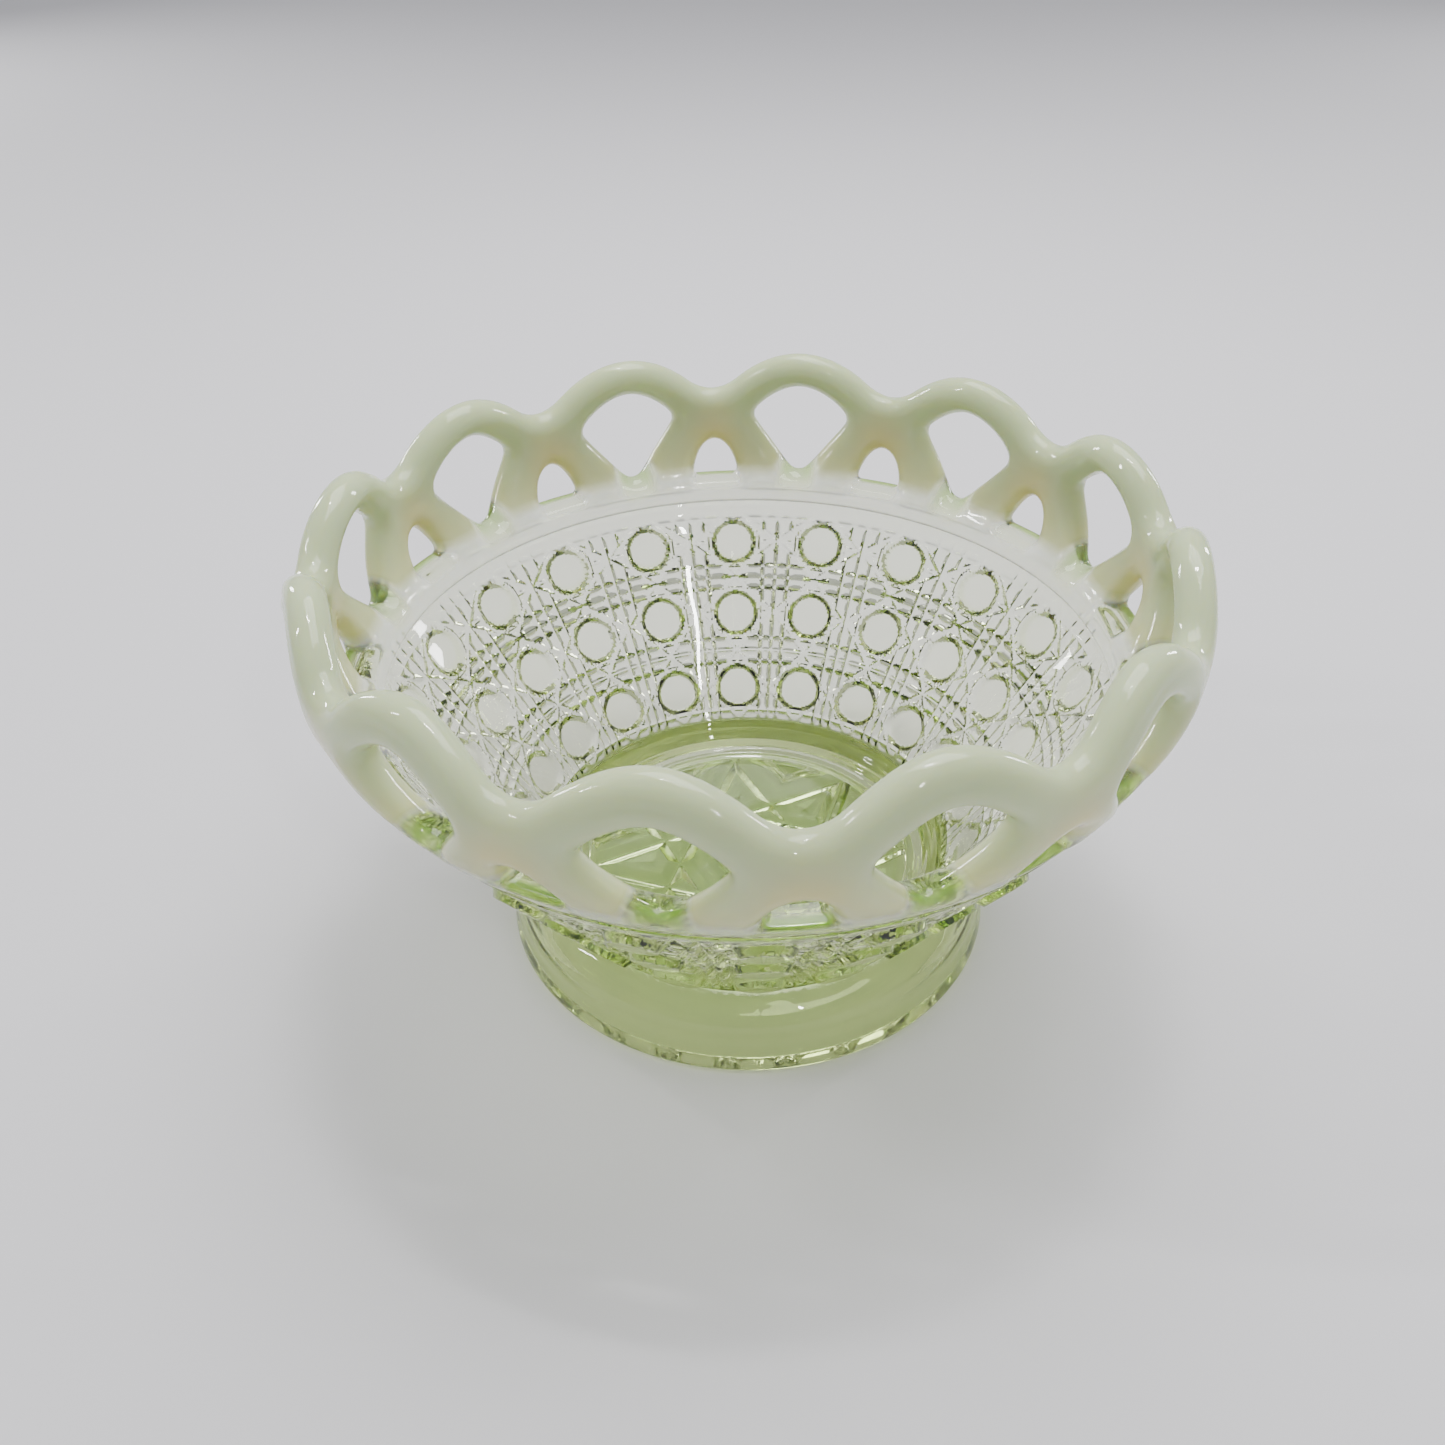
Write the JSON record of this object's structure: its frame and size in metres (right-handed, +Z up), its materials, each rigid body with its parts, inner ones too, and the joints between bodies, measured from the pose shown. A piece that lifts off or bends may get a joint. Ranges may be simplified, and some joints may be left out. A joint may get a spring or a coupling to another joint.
{
  "type": "open-edge glass bowl",
  "caption": "Flared pressed-glass bowl on a hollow foot, with a button-studded wall and an open rim of crossing arches.",
  "frame": {"origin": "centre of the foot's underside, on the surface the bowl stands on", "axes": "+Z up along the bowl's axis; +Y points at the crown of one rim arch, and the bowl repeats every 30 degrees at the rim and every 18 degrees on the wall"},
  "size_m": [0.1918, 0.1918, 0.1084],
  "materials": {
    "clear_glass": "polished, faint yellow-green, darker where thick",
    "foot_glass": "polished yellow-green",
    "opal_glass": "glossy, milky pale green"
  },
  "bodies": {
    "root": {"foot_ring": "foot_glass", "base_disc": "clear_glass", "bowl_wall": "clear_glass", "shoulder_band": "clear_glass", "rim_link_01": "opal_glass", "rim_link_02": "opal_glass", "rim_link_03": "opal_glass", "rim_link_04": "opal_glass", "rim_link_05": "opal_glass", "rim_link_06": "opal_glass", "rim_link_07": "opal_glass", "rim_link_08": "opal_glass", "rim_link_09": "opal_glass", "rim_link_10": "opal_glass", "rim_link_11": "opal_glass", "rim_link_12": "opal_glass"}
  },
  "joints": []
}
